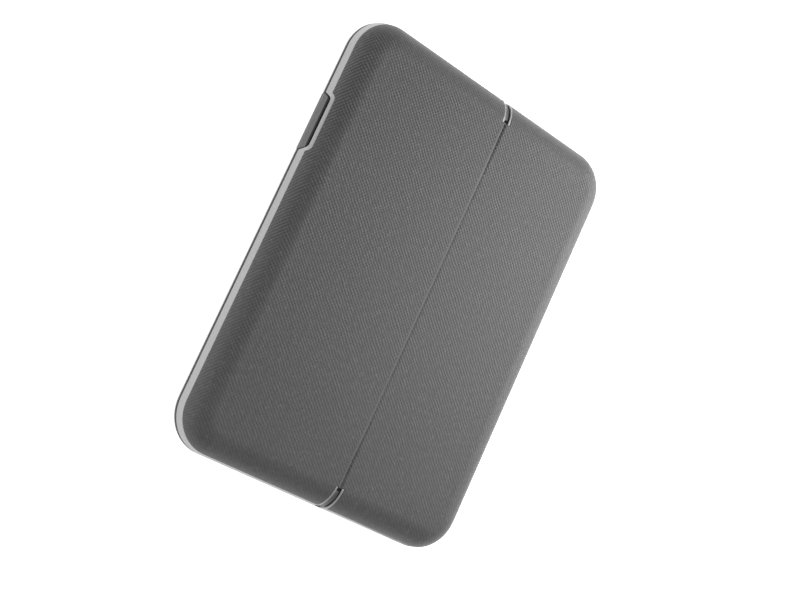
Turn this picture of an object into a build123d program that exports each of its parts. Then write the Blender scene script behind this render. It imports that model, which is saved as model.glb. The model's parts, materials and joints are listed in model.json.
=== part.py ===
"""Folding keyboard case for a 9.7 inch tablet, closed and lying on its feet.

The lower half is the keyboard base. The lid is two rigid panels joined by a fold line: the front
panel grips the top half of the tablet, and the rear panel is the leg that props it up for typing.
A fabric spine joins the rear panel to the base. X runs along the long side, the opening edge is at
-Y, the spine is at +Y, and the origin is at the middle of the footprint, on the table.
"""

import os

from build123d import *

# ---------------------------------------------------------------- driving dimensions, in mm
case_length = 250.0
case_depth = 188.5
corner_radius = 23.0
skin = 0.6  # embossed cover sheet
wall = 1.2  # moulded shells

# heights
foot_height = 0.8
base_floor = foot_height  # underside of the base's cover sheet
base_trim_low = 7.7
base_rim = 8.9  # top of the base's rim
lid_floor = 11.0  # lower edge of the lid's rim
lid_trim_top = 16.2
lid_crown = 25.4  # outer face of the lid

# edge profile: a wall that leans inwards, then a rounded shoulder that ends in the flat face
wall_draft = 11.4  # lean of the lid's edge, in degrees
shell_inset = 1.4  # the shells stand this far inside the outline, less their own offset
base_ledge = 1.2
lid_round = 15.4  # radius of the shoulder
lid_flat = 15.1  # where the shoulder reaches the flat face, in from the edge
base_round = 13.4
base_flat = 13.1

# the lid's bright rim runs round the front and sides, and narrows away before the rear corners
rim_narrows_y = 30.0
rim_ends_y = 78.0

# fold line across the lid, and the relief slot at each end of it
fold_y = 7.4
fold_gap = 0.5  # half the bare stretch of hinge cloth along the fold
slot_length = 14.5
slot_half_inner = 1.6
slot_half_outer = 2.3
slot_rim = 1.0
rim_proud = 0.12

# thumb notch in the lid's rim, and the tab on the base that stands in it
notch_x = -56.5
notch_top = 17.1
notch_half_top = 14.2
notch_half_low = 17.1
notch_rim = 2.0
notch_rim_top = 2.0
tab_gap = 0.9

# spine
pocket_half = 102.5  # half the length of the straight rear edge
pocket_depth = 1.9
spine_half = 101.5

# keyboard
deck_inset = 3.5
deck_top = 8.6
deck_thickness = 1.0
key_pitch_x = 16.4
key_pitch_y = 15.2
function_pitch_y = 9.0
key_gap = 2.2  # between neighbouring keycaps
well_gap = 0.35
keyboard_front = -87.0
key_top = 10.0
key_low = 7.8
key_travel = 1.5
membrane_top = 6.0
membrane_thickness = 0.4
plate_thickness = 0.5

# the groove that the tablet's edge stands in
rest_y = 14.0
rest_length = 216.0
rest_width = 11.0

# controls beside the groove
control_y = 3.0
switch_x = 103.0
button_x = 88.0
led_x = (74.0, 79.0)

# fasteners and feet
screw_x = 104.0
screw_y = (27.0, 73.5)
screw_radius = 1.0
screw_head_radius = 2.0
foot_radius = 6.0
foot_y = 73.5

half_x = case_length / 2
half_y = case_depth / 2
pocket_y = half_y - pocket_depth
cavity_floor = base_floor + skin + wall
deck_low = deck_top - deck_thickness
tall = 60.0  # longer than any cut needs

os.makedirs("parts", exist_ok=True)


def save(built, name):
    """Labels a finished piece and writes its STEP file."""
    built.part.label = name
    export_step(built.part, f"parts/{name}.step")


def plan(inset, mode=Mode.ADD):
    """The case's outline from above, drawn inset from its widest line."""
    return RectangleRounded(
        case_length - 2 * inset, case_depth - 2 * inset, corner_radius - inset, mode=mode
    )


def lid_cushion(offset):
    """The lid's rounded cushion, far deeper than the lid, after moving its face inwards."""
    with BuildPart() as form:
        with BuildSketch(Plane.XY.offset(lid_crown - 30)):
            plan(lid_flat - lid_round + offset)
        extrude(amount=30 - offset)
        top = form.faces().sort_by(Axis.Z)[-1]
        fillet(top.edges(), radius=lid_round - offset)
    return form.part


def lid_form(offset, low=lid_floor):
    """The solid inside the lid's shells, after moving the cushion's face inwards."""
    with BuildPart() as form:
        add(lid_cushion(offset))
        with BuildSketch(Plane.XY.offset(low)):
            plan(shell_inset + offset)
        extrude(amount=lid_crown - low, mode=Mode.INTERSECT)
    return form.part


def lid_outside(offset=0.0):
    """The lid's outer form, moved inwards: the cushion, trimmed by the leaning wall."""
    with BuildPart() as form:
        with BuildSketch(Plane.XY.offset(lid_floor)):
            plan(max(offset, 0))
        extrude(amount=lid_crown - lid_floor + 1, taper=wall_draft)
        add(lid_cushion(offset), mode=Mode.INTERSECT)
    return form.part


def base_form(offset, high=base_rim):
    """The solid inside the base's cushion-shaped outer face, after moving that face inwards."""
    with BuildPart() as form:
        with BuildSketch(Plane.XY.offset(base_floor + offset)):
            plan(base_flat - base_round + offset)
        extrude(amount=30 - offset)
        bottom = form.faces().sort_by(Axis.Z)[0]
        fillet(bottom.edges(), radius=base_round - offset)
        with BuildSketch(Plane.XY.offset(base_floor)):
            plan(base_ledge + offset)
        extrude(amount=high - base_floor, mode=Mode.INTERSECT)
    return form.part


def slots(grow):
    """Cutters for the two relief slots at the ends of the fold line, widened by grow."""
    with BuildPart() as cutter:
        with BuildSketch(Plane.XY.offset(lid_floor - 1)):
            with BuildLine():
                Polyline(
                    (half_x - slot_length, -slot_half_inner - grow),
                    (half_x + 1, -slot_half_outer - grow),
                    (half_x + 1, slot_half_outer + grow),
                    (half_x - slot_length, slot_half_inner + grow),
                    close=True,
                )
            make_face()
            mirror(about=Plane.YZ)
        extrude(amount=tall)
    return cutter.part.translate((0, fold_y, 0))


def front_block(grow, low, high, deep, corner):
    """A block through the front edge with the thumb notch's outline, seen from the front."""
    with BuildPart() as block:
        with BuildSketch(Plane.XZ.offset(half_y + 1)) as outline:
            with BuildLine():
                Polyline(
                    (notch_x - notch_half_low - grow, low),
                    (notch_x + notch_half_low + grow, low),
                    (notch_x + notch_half_low + grow, lid_floor),
                    (notch_x + notch_half_top + grow * 0.8, high),
                    (notch_x - notch_half_top - grow * 0.8, high),
                    (notch_x - notch_half_low - grow, lid_floor),
                    close=True,
                )
            make_face()
            fillet(outline.vertices().group_by(Axis.Y)[-1], radius=corner)
        extrude(amount=-deep - 1)
    return block.part


def rim_zone():
    """The space that the lid's bright rim keeps: full height in front, narrowing at the rear."""
    with BuildPart() as zone:
        with BuildSketch(Plane.YZ.offset(-half_x - 1)):
            with BuildLine():
                Polyline(
                    (-half_y - 1, lid_floor - 1),
                    (-half_y - 1, lid_trim_top),
                    (rim_narrows_y, lid_trim_top),
                    (rim_ends_y, lid_floor + 0.4),
                    (rim_ends_y, lid_floor - 1),
                    close=True,
                )
            make_face()
        extrude(amount=case_length + 2)
    return zone.part


def rear_pocket(low, high):
    """Cutter for the straight recess in the rear edge that the spine lies in."""
    with BuildPart() as cutter:
        with BuildSketch(Plane.XY.offset(low)):
            with Locations((0, pocket_y + 5)):
                Rectangle(2 * pocket_half, 10)
        extrude(amount=high - low)
    return cutter.part


def front_half():
    """The space in front of the fold line."""
    with BuildPart() as space:
        with BuildSketch(Plane.XY):
            with Locations((0, fold_y - fold_gap - case_depth / 2)):
                Rectangle(2 * case_length, case_depth)
        extrude(amount=tall)
    return space.part


def rear_half():
    """The space behind the fold line."""
    with BuildPart() as space:
        with BuildSketch(Plane.XY):
            with Locations((0, fold_y + fold_gap + case_depth / 2)):
                Rectangle(2 * case_length, case_depth)
        extrude(amount=tall)
    return space.part


def box_between(low, high, mode=Mode.ADD):
    """A plain block from its lowest corner to its highest corner."""
    size = [b - a for a, b in zip(low, high)]
    middle = [(a + b) / 2 for a, b in zip(low, high)]
    with Locations(tuple(middle)):
        return Box(*size, mode=mode)


notch_cut = front_block(0, lid_floor - 1, notch_top, 5.0, 2.2)
notch_frame = front_block(notch_rim, lid_floor - 1, notch_top + notch_rim_top, 7.0, 3.6)
slot_cut = slots(0)
slot_frame = slots(slot_rim)
ahead = front_half()
behind = rear_half()
trimmed = rim_zone()
lid_shell_outer = lid_form(skin)
lid_shell_inner = lid_form(skin + wall)

# the layer that lies over the shells: bright rim low on the edge, cover sheet above it
with BuildPart() as lid_layer:
    add(lid_outside())
    add(lid_shell_outer, mode=Mode.SUBTRACT)

# ================================================================ lid: cover sheets
with BuildPart() as front_panel_skin:
    add(lid_layer.part)
    add(trimmed, mode=Mode.SUBTRACT)
    add(ahead, mode=Mode.INTERSECT)
    add(slot_frame, mode=Mode.SUBTRACT)
    add(notch_frame, mode=Mode.SUBTRACT)
save(front_panel_skin, "front_panel_skin")

with BuildPart() as rear_panel_skin:
    add(lid_layer.part)
    add(trimmed, mode=Mode.SUBTRACT)
    add(behind, mode=Mode.INTERSECT)
    add(slot_frame, mode=Mode.SUBTRACT)
    add(rear_pocket(lid_floor - 1, lid_crown), mode=Mode.SUBTRACT)
save(rear_panel_skin, "rear_panel_skin")

# ================================================================ lid: moulded shells
keeper_pocket_y = -half_y + 3.3

with BuildPart() as front_panel_shell:
    add(lid_shell_outer)
    add(lid_shell_inner, mode=Mode.SUBTRACT)
    add(ahead, mode=Mode.INTERSECT)
    add(slot_cut, mode=Mode.SUBTRACT)
    add(notch_cut, mode=Mode.SUBTRACT)
save(front_panel_shell, "front_panel_shell")

with BuildPart() as rear_panel_shell:
    add(lid_shell_outer)
    add(lid_shell_inner, mode=Mode.SUBTRACT)
    add(behind, mode=Mode.INTERSECT)
    add(slot_cut, mode=Mode.SUBTRACT)
save(rear_panel_shell, "rear_panel_shell")

# ================================================================ lid: bright rims
with BuildPart() as lid_band:
    add(lid_layer.part)
    add(trimmed, mode=Mode.INTERSECT)

with BuildPart() as raised_frames:
    add(lid_outside(-rim_proud))
    add(lid_shell_outer, mode=Mode.SUBTRACT)

with BuildPart() as slot_edging:
    add(raised_frames.part)
    add(slot_frame, mode=Mode.INTERSECT)

with BuildPart() as notch_edging:
    add(raised_frames.part)
    add(notch_frame, mode=Mode.INTERSECT)

with BuildPart() as front_panel_rim:
    add(lid_band.part)
    add(slot_edging.part)
    add(notch_edging.part)
    add(ahead, mode=Mode.INTERSECT)
    add(slot_cut, mode=Mode.SUBTRACT)
    add(notch_cut, mode=Mode.SUBTRACT)
save(front_panel_rim, "front_panel_rim")

with BuildPart() as rear_panel_rim:
    add(lid_band.part)
    add(slot_edging.part)
    add(behind, mode=Mode.INTERSECT)
    add(slot_cut, mode=Mode.SUBTRACT)
    add(rear_pocket(lid_floor - 1, lid_crown), mode=Mode.SUBTRACT)
save(rear_panel_rim, "rear_panel_rim")

# ================================================================ lid: tablet holder
holder_offset = skin + wall + 0.1
holder_wall = 1.0
bay_offset = holder_offset + holder_wall
lip_thickness = 0.6
lip_width = 1.8
wing_reach = 7.0  # how far the holder's ends run on behind the fold line
wing_low = 13.2  # clear of the base as the panel turns about the fold
wing_drop = 0.4
bay_inset = shell_inset + bay_offset

with BuildPart() as tablet_holder:
    add(lid_form(holder_offset))
    add(lid_form(bay_offset), mode=Mode.SUBTRACT)
    with BuildSketch(Plane.XY.offset(lid_floor)):
        plan(bay_inset)
        plan(bay_inset + lip_width, mode=Mode.SUBTRACT)
    extrude(amount=lip_thickness)
    with BuildSketch(Plane.XY.offset(lid_floor)):
        with Locations((0, fold_y - 1.0 - case_depth / 2)):
            Rectangle(2 * case_length, case_depth)
    extrude(amount=tall, mode=Mode.INTERSECT)
    # shallow pocket behind the thumb notch for the steel keeper
    box_between(
        (notch_x - 12.2, keeper_pocket_y - 0.5, 11.7),
        (notch_x + 12.2, keeper_pocket_y + 0.55, 14.1),
        mode=Mode.SUBTRACT,
    )

with BuildPart() as holder_wings:
    add(lid_form(holder_offset + wing_drop, low=wing_low))
    add(lid_form(bay_offset + wing_drop, low=wing_low), mode=Mode.SUBTRACT)
    box_between(
        (-half_x, fold_y - 1.0, wing_low),
        (half_x, fold_y + wing_reach, lid_crown),
        mode=Mode.INTERSECT,
    )
    box_between(
        (-half_x + slot_length + 3, -half_y, wing_low),
        (half_x - slot_length - 3, half_y, lid_crown),
        mode=Mode.SUBTRACT,
    )

# a short overlap in front of the fold line fuses each wing to the holder
with BuildPart() as wing_roots:
    add(lid_form(holder_offset, low=wing_low))
    add(lid_form(bay_offset + wing_drop, low=wing_low), mode=Mode.SUBTRACT)
    box_between(
        (-half_x, fold_y - 4.0, wing_low),
        (half_x, fold_y - 1.0, lid_crown),
        mode=Mode.INTERSECT,
    )
    box_between(
        (-half_x + slot_length + 3, -half_y, wing_low),
        (half_x - slot_length - 3, half_y, lid_crown),
        mode=Mode.SUBTRACT,
    )

# a tongue of each wing fills its relief slot, a little below the cover sheet
tongue_depth = 1.0
tongue_gap = 0.25
tongue_shift = -0.12  # nearer to the front panel, which carries it
tongue_start = half_x - slot_length + 2.0
with BuildPart() as slot_tongues:
    add(lid_outside(tongue_depth))
    add(lid_form(holder_offset + wing_drop + 0.3, low=wing_low), mode=Mode.SUBTRACT)
    add(slots(-tongue_gap).translate((0, tongue_shift, 0)), mode=Mode.INTERSECT)
    box_between(
        (-half_x, fold_y - 5, wing_low), (half_x, fold_y + 5, lid_crown), mode=Mode.INTERSECT
    )
    box_between(
        (-tongue_start, fold_y - 5, 0), (tongue_start, fold_y + 5, tall), mode=Mode.SUBTRACT
    )

with BuildPart() as holder_whole:
    add(tablet_holder.part)
    add(wing_roots.part)
    add(holder_wings.part)
    add(slot_tongues.part)
save(holder_whole, "tablet_holder")

with BuildPart() as keeper_plate:
    box_between(
        (notch_x - 12, keeper_pocket_y, 11.9), (notch_x + 12, keeper_pocket_y + 0.5, 13.9)
    )
save(keeper_plate, "keeper_plate")

# soft lining: flat sheets glued to the ceilings of both panels
lining = 0.5
lining_inset = 17.0
holder_ceiling = lid_crown - bay_offset
rear_ceiling = lid_crown - skin - wall


def lining_sheet(y_low, y_high, ceiling):
    """A flat sheet of lining with rounded corners."""
    with BuildPart() as sheet:
        with BuildSketch(Plane.XY.offset(ceiling - lining)):
            with Locations((0, (y_low + y_high) / 2)):
                RectangleRounded(case_length - 2 * lining_inset, y_high - y_low, 5)
        extrude(amount=lining)
    return sheet


front_lining = lining_sheet(-half_y + lining_inset, fold_y - 2.5, holder_ceiling)
save(front_lining, "holder_lining")
rear_lining = lining_sheet(fold_y + 2.5, half_y - lining_inset, rear_ceiling)
save(rear_lining, "rear_panel_lining")

# magnets that pull the tablet's lower half against the rear panel
with BuildPart() as panel_magnets:
    with BuildSketch(Plane.XY.offset(rear_ceiling - lining - 0.8)):
        with Locations((-70, 62), (70, 62)):
            RectangleRounded(30, 8, 1)
    extrude(amount=0.8)
save(panel_magnets, "rear_panel_magnets")

# silicone corner pads that grip the tablet's top corners
pad_reach = 16.0
with BuildPart() as corner_pads:
    add(lid_form(bay_offset))
    add(lid_form(bay_offset + 0.7), mode=Mode.SUBTRACT)
    with BuildSketch(Plane.XY.offset(lid_floor + lip_thickness)):
        with GridLocations(2 * (half_x - pad_reach / 2), 0, 2, 1):
            with Locations((0, -half_y + pad_reach / 2)):
                Rectangle(pad_reach, pad_reach)
    extrude(amount=2.6, mode=Mode.INTERSECT)
save(corner_pads, "corner_pads")

# ================================================================ hinge cloth
cloth = 0.5
with BuildPart() as fold_cloth:
    box_between(
        (-half_x + slot_length + 0.2, fold_y - fold_gap, lid_crown - skin),
        (half_x - slot_length - 0.2, fold_y + fold_gap - 0.3, lid_crown - skin + cloth),
    )
save(fold_cloth, "fold_cloth")

with BuildPart() as spine_cloth:
    box_between((-spine_half, half_y - 1.7, 7.4), (spine_half, half_y - 0.5, 8.8))
save(spine_cloth, "spine_cloth")

with BuildPart() as lid_cloth:
    box_between((-spine_half, half_y - 1.7, 13.7), (spine_half, half_y - 0.5, 15.4))
save(lid_cloth, "lid_cloth")

# ================================================================ spine
with BuildPart() as spine_board:
    box_between((-spine_half, half_y - 1.6, 9.3), (spine_half, half_y - 0.8, 13.2))
save(spine_board, "spine_board")

with BuildPart() as spine_skin:
    box_between((-spine_half, half_y - 0.8, 8.9), (spine_half, half_y, 13.6))
    fillet(spine_skin.faces().sort_by(Axis.Y)[-1].edges().filter_by(Axis.X), radius=0.4)
save(spine_skin, "spine_skin")

# ================================================================ base: casing
port_y = 40.0
port_z = 5.4
port_x = half_x - 9.2
foot_places = [(x, y) for x in (-screw_x, screw_x) for y in (-foot_y, foot_y)]
screw_places = [(x, y) for x in (-screw_x, screw_x) for y in screw_y]
boss_radius = 3.0
boss_meet = 4.2  # where a boss of the shell meets one of the deck


def port_opening(grow):
    """Cutter for the charging socket's mouth in the base's right-hand side."""
    with BuildPart() as cutter:
        with BuildSketch(Plane.YZ.offset(port_x - 6)):
            with Locations((port_y, port_z)):
                SlotOverall(9.0 + 2 * grow, 3.4 + 2 * grow)
        extrude(amount=20)
    return cutter.part


with BuildPart() as base_shell:
    add(base_form(skin))
    add(base_form(skin + wall), mode=Mode.SUBTRACT)
    with BuildSketch(Plane.XY.offset(deck_low - 0.1)):
        plan(deck_inset - 0.1)
    extrude(amount=tall, mode=Mode.SUBTRACT)
    add(rear_pocket(0, tall), mode=Mode.SUBTRACT)
    with BuildSketch(Plane.XY.offset(cavity_floor - 0.2)):
        with Locations(*screw_places):
            Circle(boss_radius)
    extrude(amount=boss_meet - cavity_floor + 0.2)
    with BuildSketch(Plane.XY):
        with Locations(*screw_places):
            Circle(screw_radius + 0.1)
    extrude(amount=boss_meet + 1, mode=Mode.SUBTRACT)
    with BuildSketch(Plane.XY):
        with Locations(*screw_places):
            Circle(screw_head_radius + 0.2)
    extrude(amount=base_floor + skin + 1.0, mode=Mode.SUBTRACT)
    add(port_opening(0), mode=Mode.SUBTRACT)
save(base_shell, "base_shell")

with BuildPart() as base_skin:
    add(base_form(0, high=base_trim_low))
    add(base_form(skin, high=base_trim_low + 1), mode=Mode.SUBTRACT)
    add(rear_pocket(0, tall), mode=Mode.SUBTRACT)
    with BuildSketch(Plane.XY):
        with Locations(*foot_places):
            Circle(foot_radius + 0.2)
    extrude(amount=base_floor + skin + 0.2, mode=Mode.SUBTRACT)
    add(port_opening(0.4), mode=Mode.SUBTRACT)
save(base_skin, "base_skin")

tab_seat = front_block(-tab_gap, base_trim_low - 1, notch_top - tab_gap, 1.8, 1.8)
with BuildPart() as base_rim_part:
    with BuildSketch(Plane.XY.offset(base_trim_low)):
        plan(0)
    extrude(amount=base_rim - base_trim_low)
    fillet(base_rim_part.faces().sort_by(Axis.Z)[0].edges(), radius=0.5)
    with BuildSketch(Plane.XY.offset(base_trim_low)):
        plan(base_ledge + skin)
    extrude(amount=base_rim - base_trim_low, mode=Mode.SUBTRACT)
    add(rear_pocket(0, tall), mode=Mode.SUBTRACT)
    add(tab_seat, mode=Mode.SUBTRACT)
save(base_rim_part, "base_rim")

# thumb tab: stands on the base's rim and fills the notch in the lid
tab_top = 14.2
tab_back = 2.1
magnet_low = 11.0
with BuildPart() as thumb_tab:
    with BuildSketch(Plane.YZ.offset(notch_x - 20)):
        with BuildLine():
            Polyline(
                (-half_y, base_trim_low),
                (-half_y, lid_floor - 0.4),
                (-half_y + 0.9, tab_top),
                (-half_y + tab_back, tab_top),
                (-half_y + tab_back, base_rim),
                (-half_y + base_ledge + skin, base_rim),
                (-half_y + base_ledge + skin, base_trim_low),
                close=True,
            )
        make_face()
    extrude(amount=40)
    add(front_block(-tab_gap, 0, notch_top - tab_gap, 6.0, 1.8), mode=Mode.INTERSECT)
    box_between(
        (notch_x - 10, -half_y + 1.3, magnet_low),
        (notch_x + 10, -half_y + tab_back, magnet_low + 2.0),
        mode=Mode.SUBTRACT,
    )
save(thumb_tab, "thumb_tab")

with BuildPart() as tab_magnet:
    box_between(
        (notch_x - 10, -half_y + 1.3, magnet_low),
        (notch_x + 10, -half_y + tab_back, magnet_low + 2.0),
    )
save(tab_magnet, "tab_magnet")

# ================================================================ keyboard
# each row: keycap widths in key pitches, from the left, with the group that each key belongs to
letters = "row"
rows = [
    ("modifier", [(1, letters), (1, letters), (1, letters), (1.25, letters), (4.5, "space_bar"),
                  (1.25, letters), (1, letters), (1, "left_arrow"), (1, "up_down"), (1, "right_arrow")]),
    ("lower_letter", [(2, "left_shift"), *[(1, letters)] * 10, (2, "right_shift")]),
    ("home_letter", [(1.5, "caps_lock"), *[(1, letters)] * 11, (1.5, "enter_key")]),
    ("upper_letter", [(1.25, "tab_key"), *[(1, letters)] * 11, (1.75, letters)]),
    ("number", [*[(1, letters)] * 12, (2, "backspace")]),
    ("function", [(1, letters)] * 14),
]
units_wide = 14
keyboard_left = -units_wide * key_pitch_x / 2
keyboard_depth = 5 * key_pitch_y + function_pitch_y


def key_places():
    """Every key as (node name, x, y, width, depth), from the rows above."""
    places = []
    row_front = keyboard_front
    for row_name, keys in rows:
        pitch_y = function_pitch_y if row_name == "function" else key_pitch_y
        x = keyboard_left
        for units, group in keys:
            wide = units * key_pitch_x
            middle_x = x + wide / 2
            middle_y = row_front + pitch_y / 2
            node = f"{row_name}_keys" if group == letters else group
            if group == "up_down":
                half = pitch_y / 2
                for name, shift in (("down_arrow", -half / 2), ("up_arrow", half / 2)):
                    places.append((name, middle_x, middle_y + shift, wide - key_gap, half - 1.4))
            else:
                places.append((node, middle_x, middle_y, wide - key_gap, pitch_y - key_gap))
            x += wide
        row_front += pitch_y
    return places


keys = key_places()
key_corner = 1.2

with BuildPart() as keyboard_deck:
    with BuildSketch(Plane.XY.offset(deck_low)):
        plan(deck_inset)
    extrude(amount=deck_thickness)
    add(rear_pocket(0, tall), mode=Mode.SUBTRACT)
    with BuildSketch(Plane.XY.offset(boss_meet)):
        with Locations(*screw_places):
            Circle(boss_radius)
    extrude(amount=deck_low - boss_meet + 0.2)
    with BuildSketch(Plane.XY.offset(boss_meet)):
        with Locations(*screw_places):
            Circle(screw_radius)
    extrude(amount=deck_low - boss_meet - 0.4, mode=Mode.SUBTRACT)
    with BuildSketch(Plane.XY.offset(deck_low - 1)):
        for _, x, y, wide, deep in keys:
            with Locations((x, y)):
                RectangleRounded(wide + 2 * well_gap, deep + 2 * well_gap, key_corner)
        with Locations((0, rest_y)):
            RectangleRounded(rest_length, rest_width, 2)
        with Locations((switch_x, control_y)):
            SlotOverall(12, 4)
        with Locations((button_x, control_y)):
            Circle(3)
        with Locations(*[(x, control_y) for x in led_x]):
            Circle(0.9)
    extrude(amount=deck_thickness + 2, mode=Mode.SUBTRACT)
save(keyboard_deck, "keyboard_deck")


def keycap_group(name):
    """All keycaps that share a node: tapered caps with a softened top edge."""
    with BuildPart() as caps:
        for node, x, y, wide, deep in keys:
            if node == name:
                with BuildSketch(Plane.XY.offset(key_low)):
                    with Locations((x, y)):
                        RectangleRounded(wide, deep, key_corner)
                extrude(amount=key_top - key_low, taper=5)
        fillet(caps.faces().filter_by(Plane.XY).group_by(Axis.Z)[-1].edges(), radius=0.35)
    return caps


for node_name in dict.fromkeys(key[0] for key in keys):
    save(keycap_group(node_name), node_name)

dome_radius = 2.6
dome_top_radius = 1.3
with BuildPart() as rubber_domes:
    with BuildSketch(Plane.XY.offset(membrane_top)):
        with Locations(*[(x, y) for _, x, y, _, _ in keys]):
            Circle(dome_radius)
    extrude(amount=0.3)
    with BuildSketch(Plane.XY.offset(membrane_top + 0.3)):
        with Locations(*[(x, y) for _, x, y, _, _ in keys]):
            Circle(dome_radius - 0.3)
    extrude(amount=key_low - membrane_top - 0.3, taper=35)
save(rubber_domes, "rubber_domes")

sheet_middle_y = keyboard_front + keyboard_depth / 2
sheet_size = (units_wide * key_pitch_x + 2, keyboard_depth + 2)
sheet_inset = 6.9
with BuildPart() as switch_membrane:
    with BuildSketch(Plane.XY.offset(membrane_top - membrane_thickness)):
        with Locations((0, sheet_middle_y)):
            RectangleRounded(*sheet_size, 3)
        plan(sheet_inset, mode=Mode.INTERSECT)
    extrude(amount=membrane_thickness)
save(switch_membrane, "switch_membrane")

plate_low = membrane_top - membrane_thickness - plate_thickness
with BuildPart() as backing_plate:
    with BuildSketch(Plane.XY.offset(plate_low)):
        with Locations((0, sheet_middle_y)):
            RectangleRounded(*sheet_size, 3)
        plan(sheet_inset, mode=Mode.INTERSECT)
    extrude(amount=plate_thickness)
save(backing_plate, "backing_plate")

# ribs under the backing plate, which hold the keyboard up to the deck
rib_x = (-84.0, -28.0, 28.0, 84.0)
with BuildPart() as keyboard_ribs:
    with BuildSketch(Plane.XY.offset(cavity_floor)):
        with Locations(*[(x, sheet_middle_y) for x in rib_x]):
            Rectangle(1.6, keyboard_depth - 14)
    extrude(amount=plate_low - cavity_floor)
save(keyboard_ribs, "keyboard_ribs")

# ================================================================ tablet rest and its magnets
rest_low = 6.4
rest_depth = 1.3
with BuildPart() as tablet_rest:
    with BuildSketch(Plane.XY.offset(rest_low)):
        with Locations((0, rest_y)):
            RectangleRounded(rest_length - 0.2, rest_width - 0.2, 1.9)
    extrude(amount=deck_top - rest_low)
    with BuildSketch(Plane.XY.offset(deck_top - rest_depth)):
        with Locations((0, rest_y)):
            RectangleRounded(rest_length - 2.6, rest_width - 2.6, 1)
    extrude(amount=rest_depth, mode=Mode.SUBTRACT)
save(tablet_rest, "tablet_rest")

with BuildPart() as rest_magnets:
    with BuildSketch(Plane.XY.offset(rest_low - 2)):
        with GridLocations(50, 0, 4, 1):
            with Locations((0, rest_y)):
                RectangleRounded(28, 6, 0.6)
    extrude(amount=2)
save(rest_magnets, "rest_magnets")

# ================================================================ controls and electronics
with BuildPart() as power_switch:
    with BuildSketch(Plane.XY.offset(deck_top - 2.2)):
        with Locations((switch_x - 2, control_y)):
            RectangleRounded(5.6, 3.4, 1)
    extrude(amount=2.6)
    with BuildSketch(Plane.XY.offset(deck_top + 0.4)):
        with Locations((switch_x - 2, control_y)):
            with GridLocations(1.2, 0, 3, 1):
                Rectangle(0.5, 2.4)
    extrude(amount=0.3)
save(power_switch, "power_switch")

with BuildPart() as switch_body:
    box_between(
        (switch_x - 7, control_y - 3, deck_top - 4.0),
        (switch_x + 7, control_y + 3, deck_top - 2.3),
    )
save(switch_body, "switch_body")

with BuildPart() as connect_button:
    with BuildSketch(Plane.XY.offset(deck_low + 0.2)):
        with Locations((button_x, control_y)):
            Circle(2.8)
    extrude(amount=deck_top - deck_low + 0.2)
    fillet(connect_button.faces().sort_by(Axis.Z)[-1].edges(), radius=0.3)
save(connect_button, "connect_button")

with BuildPart() as button_switch:
    box_between(
        (button_x - 2.2, control_y - 2.2, deck_low - 2.6),
        (button_x + 2.2, control_y + 2.2, deck_low - 0.5),
    )
save(button_switch, "button_switch")

with BuildPart() as light_pipes:
    with BuildSketch(Plane.XY.offset(deck_low - 1.2)):
        with Locations(*[(x, control_y) for x in led_x]):
            Circle(0.8)
    extrude(amount=deck_top - deck_low + 1.25)
save(light_pipes, "light_pipes")

control_board_top = 4.5
with BuildPart() as control_board:
    box_between((68, -0.5, control_board_top - 0.8), (111, 6.5, control_board_top))
save(control_board, "control_board")

board_low = cavity_floor + 0.3
board_top = board_low + 0.8
with BuildPart() as main_board:
    with BuildSketch(Plane.XY.offset(board_low)):
        with Locations((90, 46)):
            RectangleRounded(46, 30, 1)
    extrude(amount=0.8)
    box_between((74, 40, board_top), (82, 48, board_top + 0.9))
    box_between((90, 50, board_top), (95, 55, board_top + 0.8))
save(main_board, "main_board")

with BuildPart() as charging_socket:
    with BuildSketch(Plane.YZ.offset(port_x - 4.0)):
        with Locations((port_y, port_z)):
            RectangleRounded(7.6, 2.8, 0.6)
    extrude(amount=5.4)
    with BuildSketch(Plane.YZ.offset(port_x - 3.2)):
        with Locations((port_y, port_z)):
            RectangleRounded(6.9, 2.1, 0.4)
            with Locations((0, 0.35)):
                Rectangle(3.6, 0.6, mode=Mode.SUBTRACT)
    extrude(amount=8, mode=Mode.SUBTRACT)
save(charging_socket, "charging_socket")

with BuildPart() as battery_cells:
    with BuildSketch(Plane.XY.offset(cavity_floor + 0.1)):
        with Locations((-62, 50), (4, 50)):
            RectangleRounded(60, 46, 1.5)
    extrude(amount=3.6)
    fillet(battery_cells.faces().group_by(Axis.Z)[-1].edges(), radius=0.6)
save(battery_cells, "battery_cells")

ribbon = 0.3
with BuildPart() as ribbon_cable:
    with BuildSketch(Plane.YZ.offset(40)):
        with BuildLine():
            Polyline(
                (keyboard_front + keyboard_depth + 1, membrane_top - ribbon),
                (4, membrane_top - ribbon),
                (10, 3.3),
                (34, 3.3),
                (34, 3.3 + ribbon),
                (10.2, 3.3 + ribbon),
                (4.2, membrane_top),
                (keyboard_front + keyboard_depth + 1, membrane_top),
                close=True,
            )
        make_face()
    extrude(amount=14)
save(ribbon_cable, "ribbon_cable")

# ================================================================ bumpers, screws and feet
with BuildPart() as deck_bumpers:
    with BuildSketch(Plane.XY.offset(deck_top)):
        with GridLocations(2 * 117.6, 152, 2, 2):
            Circle(1.6)
    extrude(amount=2.0)
    fillet(deck_bumpers.faces().group_by(Axis.Z)[-1].edges(), radius=0.5)
save(deck_bumpers, "deck_bumpers")

with BuildPart() as casing_screws:
    with BuildSketch(Plane.XY.offset(base_floor + skin)):
        with Locations(*screw_places):
            Circle(screw_head_radius)
    extrude(amount=1.0)
    with BuildSketch(Plane.XY.offset(base_floor + skin)):
        with Locations(*screw_places):
            Circle(screw_radius)
    extrude(amount=5.0)
save(casing_screws, "casing_screws")

with BuildPart() as rubber_feet:
    with BuildSketch(Plane.XY):
        with Locations(*foot_places):
            Circle(foot_radius)
    extrude(amount=base_floor + skin)
    fillet(rubber_feet.faces().group_by(Axis.Z)[0].edges(), radius=0.3)
save(rubber_feet, "rubber_feet")
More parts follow.
